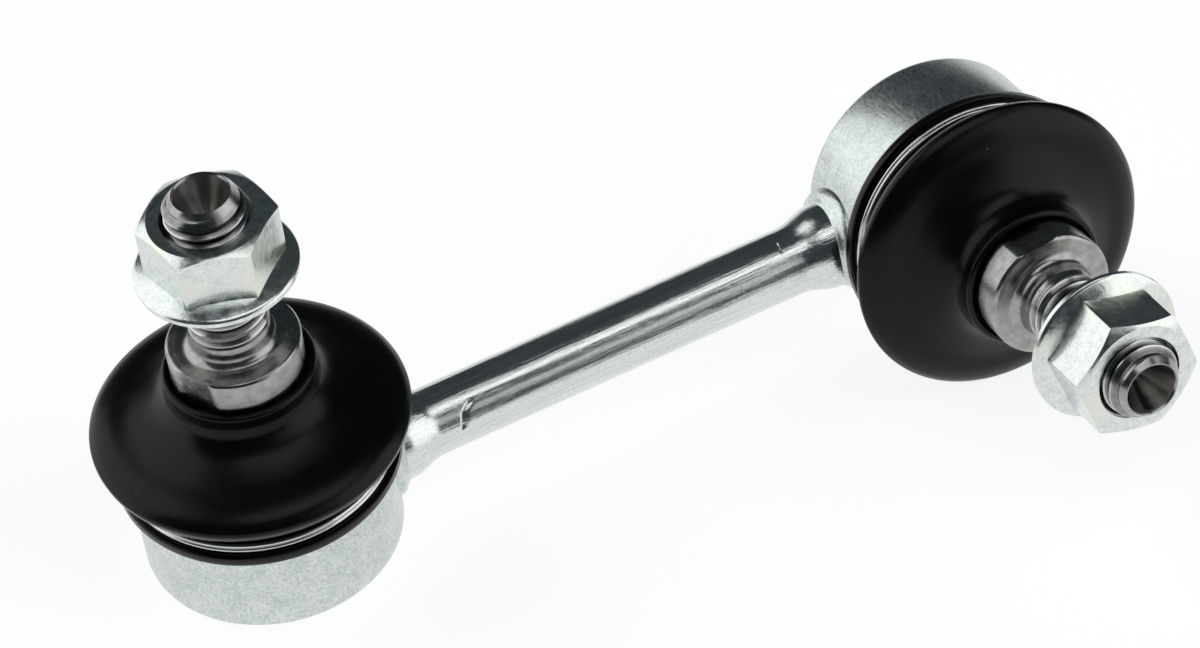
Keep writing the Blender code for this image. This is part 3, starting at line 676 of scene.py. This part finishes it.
def build_table():
    """A round sheet just under the link. What a camera or a reflection sees of it is mostly its own glow."""
    radius = 3000.0
    top = -0.15
    glow_share = 0.72
    glow_strength = 1.2
    form = spun([(0.0, top), (radius, top), (radius + 10.0, -30.0)], 96)
    paper = Finish("white_table", Matrix.Identity(4), {"Roughness": 0.9})
    soft = paper.noise(paper.point, 3.0, 1.0, 0.4)
    white, bright_white = (0.90, 0.90, 0.90, 1), (0.92, 0.92, 0.92, 1)
    paper.wear(Base_Color=paper.blend(soft, white, bright_white))
    path = paper.node("ShaderNodeLightPath", {}, {})
    seen = {label: Signal(paper, path.socket.node.outputs[label])
            for label in ("Is Camera Ray", "Is Glossy Ray", "Is Transmission Ray")}
    glowing = (seen["Is Camera Ray"] + seen["Is Glossy Ray"] + seen["Is Transmission Ray"]) * glow_share
    glow = paper.node("ShaderNodeEmission", {}, {"Color": (1, 1, 1, 1), "Strength": glow_strength})
    lit = Signal(paper, paper.shader.outputs["BSDF"])
    mixed = paper.node("ShaderNodeMixShader", {}, {0: glowing, 1: lit, 2: glow})
    paper.links.new(mixed.socket, paper.nodes["Material Output"].inputs["Surface"])
    bmesh.ops.reverse_faces(form, faces=form.faces)
    table = finished(form, "table", Matrix.Identity(4), paper.material)


def build_lamp(name, centre, target, size, power):
    """A soft box with its centre, the point that it faces and its size in metres, and its watts."""
    light = bpy.data.lights.new(name, "AREA")
    light.shape = "RECTANGLE"
    light.size, light.size_y = size
    light.energy = power
    lamp = bpy.data.objects.new(name, light)
    bpy.context.scene.collection.objects.link(lamp)
    way = Vector(target) - Vector(centre)
    lamp.matrix_world = Matrix.Translation(centre) @ way.to_track_quat("-Z", "Y").to_matrix().to_4x4()
    lamp.visible_camera = False


build_table()
build_lamp("overhead_box", (0.05, -0.48, 1.6), (0.05, -0.48, 0), (1.5, 0.66), 4.4)
build_lamp("right_box", (0.96, -0.72, 0.73), (0, 0, 0.73), (1.34, 1.44), 8.4)
build_lamp("front_box", (0.29, -1.16, 0.86), (0, 0, 0.86), (0.42, 0.66), 0.5)
build_lamp("left_box", (-0.946, 0.739, 1.13), (0, 0, 1.13), (1.53, 2.26), 14.6)

dark_room = (0.040, 0.050, 0.056, 1)
world = bpy.data.worlds.new("studio")
bpy.context.scene.world = world
world.use_nodes = True
world.node_tree.nodes["Background"].inputs["Color"].default_value = dark_room
world.node_tree.nodes["Background"].inputs["Strength"].default_value = 1.0

# The camera stands where the photograph was taken from: above the link's front, left of its middle.
# Its directions, and its place in millimetres, are given along the rod's own axes.
lens = bpy.data.cameras.new("camera")
lens.sensor_width = 36.0
lens.lens = 157.57
lens.clip_start = 0.05
lens.clip_end = 20.0
camera = bpy.data.objects.new("camera", lens)
bpy.context.scene.collection.objects.link(camera)
right = Vector((0.8838, -0.4559, -0.1046))
down = Vector((-0.3937, -0.6042, -0.6927))
forward = Vector((0.2526, 0.6535, -0.7136))
stand = Vector((-167.9, -431.1, 474.4))
aim = Matrix((right, -down, -forward)).transposed().to_4x4()
camera.matrix_world = rod_place @ Matrix.Translation(stand * MM) @ aim
bpy.context.scene.camera = camera
bpy.context.scene.view_settings.view_transform = "Standard"
